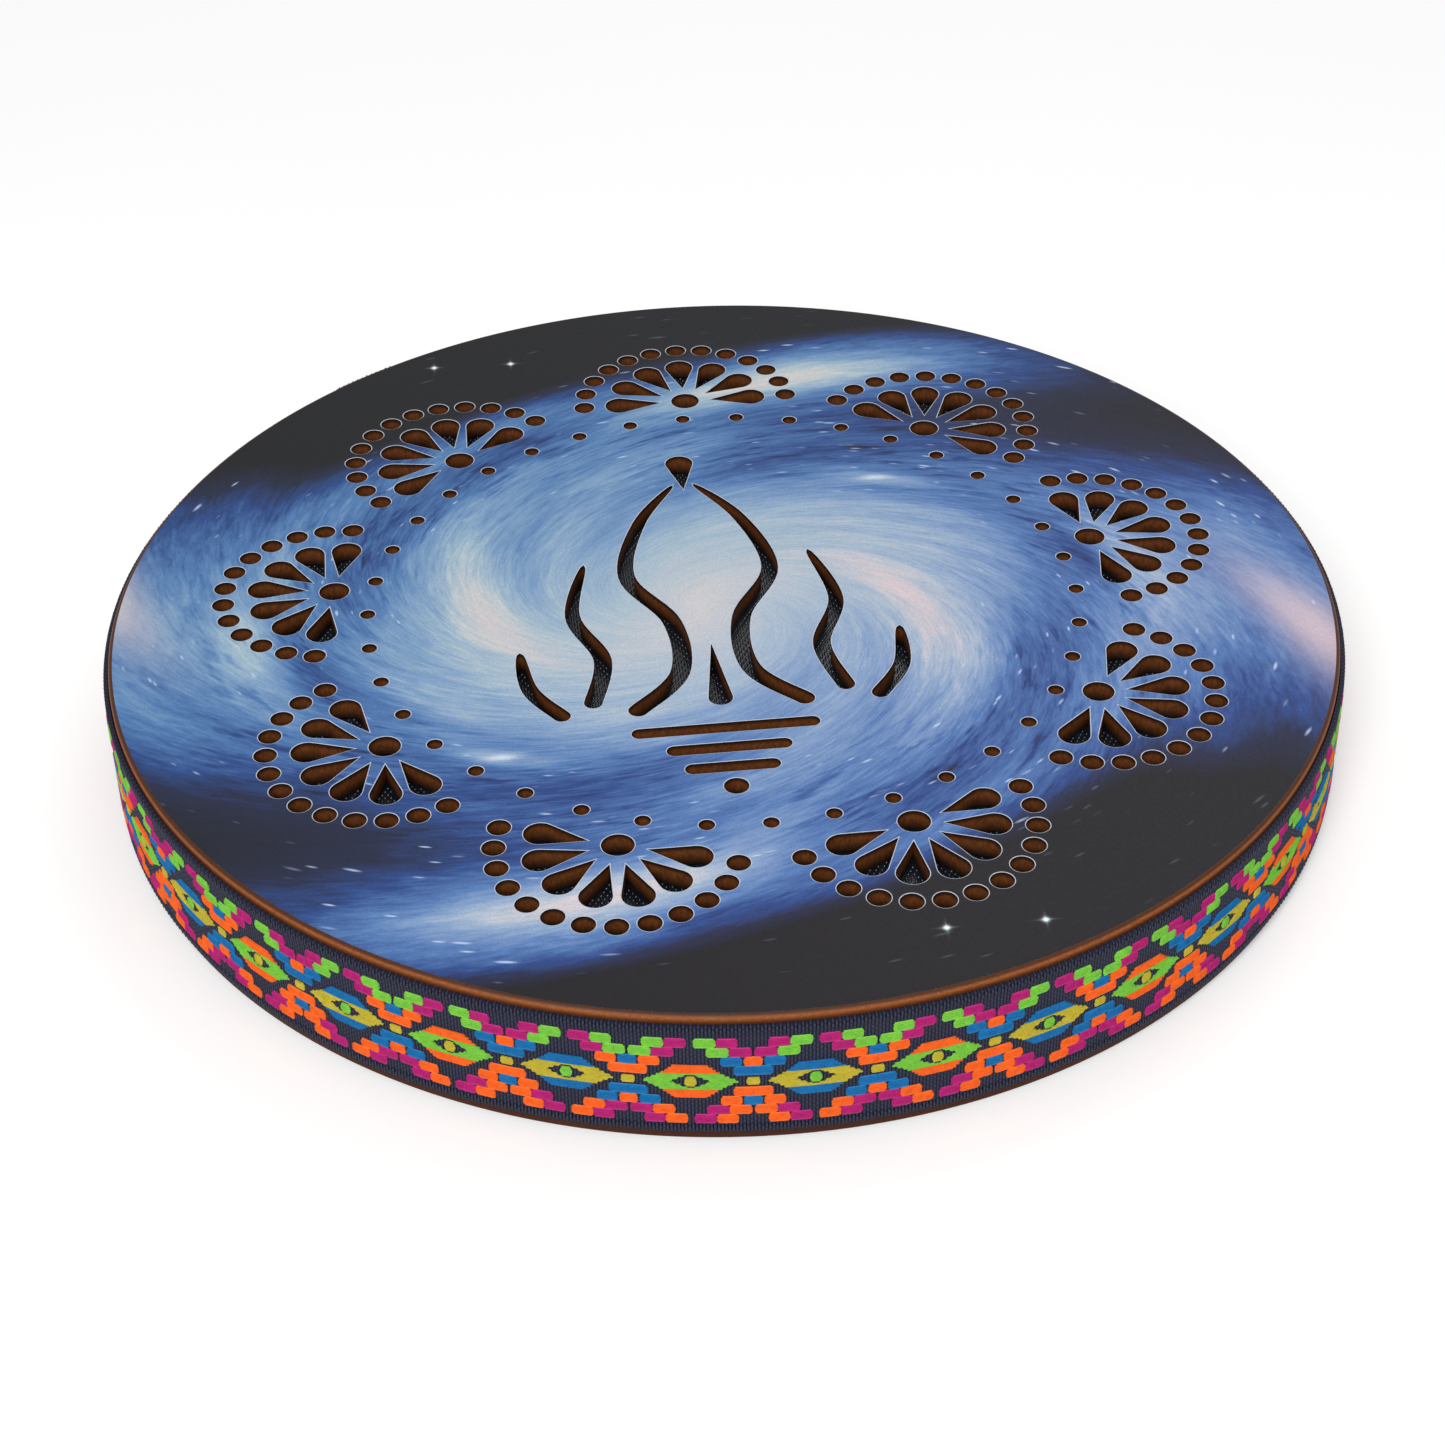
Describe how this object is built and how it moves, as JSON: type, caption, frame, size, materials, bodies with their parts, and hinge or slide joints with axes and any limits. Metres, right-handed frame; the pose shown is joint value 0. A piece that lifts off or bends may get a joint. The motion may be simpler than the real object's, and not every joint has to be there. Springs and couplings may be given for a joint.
{
  "type": "ocean drum",
  "caption": "Shallow round ocean drum with a pierced, printed top board, a bent wooden hoop under a woven ribbon, and loose steel shot sealed inside.",
  "frame": {"origin": "centre of the underside of the bottom board", "axes": "+Z is the drum's axis, out of the pierced top board; +Y points to the middle of the rear rosette, which is opposite the bars of the central motif"},
  "size_m": [0.3528, 0.3528, 0.041],
  "materials": {
    "printed_board": "satin print on fibreboard, blue and white spiral galaxy on charcoal",
    "raw_board": "dark stained fibreboard, matt",
    "plywood": "bent veneer ply, unfinished",
    "knit": "black acoustic knit",
    "ribbon": "navy jacquard ribbon with orange, green, magenta, blue and yellow pattern threads",
    "steel": "polished steel balls"
  },
  "bodies": {
    "drum": {"top_plate": "printed_board", "bottom_plate": "raw_board", "hoop_outer_ply": "plywood", "hoop_inner_ply": "plywood", "grille_cloth": "knit", "cloth_clamp_ring": "raw_board", "ribbon_band": "ribbon", "ribbon_lap": "ribbon"},
    "orbit_shot": {"shot_orbit_1": "steel", "shot_orbit_2": "steel", "shot_orbit_3": "steel", "shot_orbit_4": "steel", "shot_orbit_5": "steel", "shot_orbit_6": "steel", "shot_orbit_7": "steel", "shot_orbit_8": "steel", "shot_orbit_9": "steel", "shot_orbit_10": "steel", "shot_orbit_11": "steel", "shot_orbit_12": "steel", "shot_orbit_13": "steel", "shot_orbit_14": "steel"},
    "lead_shot": {"shot_lead_1": "steel", "shot_lead_2": "steel", "shot_lead_3": "steel", "shot_lead_4": "steel", "shot_lead_5": "steel"},
    "rear_shot": {"shot_rear_edge_1": "steel", "shot_rear_edge_2": "steel", "shot_rear_edge_3": "steel", "shot_rear_edge_4": "steel", "shot_rear_edge_5": "steel", "shot_rear_edge_6": "steel", "shot_rear_middle_1": "steel", "shot_rear_middle_2": "steel", "shot_rear_middle_3": "steel", "shot_rear_middle_4": "steel", "shot_rear_middle_5": "steel", "shot_rear_middle_6": "steel", "shot_rear_middle_7": "steel"},
    "front_shot": {"shot_front_middle_1": "steel", "shot_front_middle_2": "steel", "shot_front_middle_3": "steel", "shot_front_middle_4": "steel", "shot_front_middle_5": "steel", "shot_front_middle_6": "steel", "shot_front_middle_7": "steel", "shot_front_edge_1": "steel", "shot_front_edge_2": "steel", "shot_front_edge_3": "steel", "shot_front_edge_4": "steel", "shot_front_edge_5": "steel", "shot_front_edge_6": "steel"}
  },
  "joints": [
    {"name": "shot_orbit", "type": "hinge", "parent": "drum", "child": "orbit_shot", "pos_m": [0, 0, 0.00635], "axis": [0, 0, 1], "continuous": true},
    {"name": "shot_wash", "type": "slide", "parent": "drum", "child": "lead_shot", "axis": [0, 1, 0], "range_m": [-0.03, 0.03]},
    {"name": "rear_shot_drift", "type": "slide", "parent": "lead_shot", "child": "rear_shot", "axis": [1, 0, 0], "range_m": [-0.07, 0.07]},
    {"name": "front_shot_drift", "type": "slide", "parent": "lead_shot", "child": "front_shot", "axis": [1, 0, 0], "range_m": [-0.07, 0.07]}
  ]
}
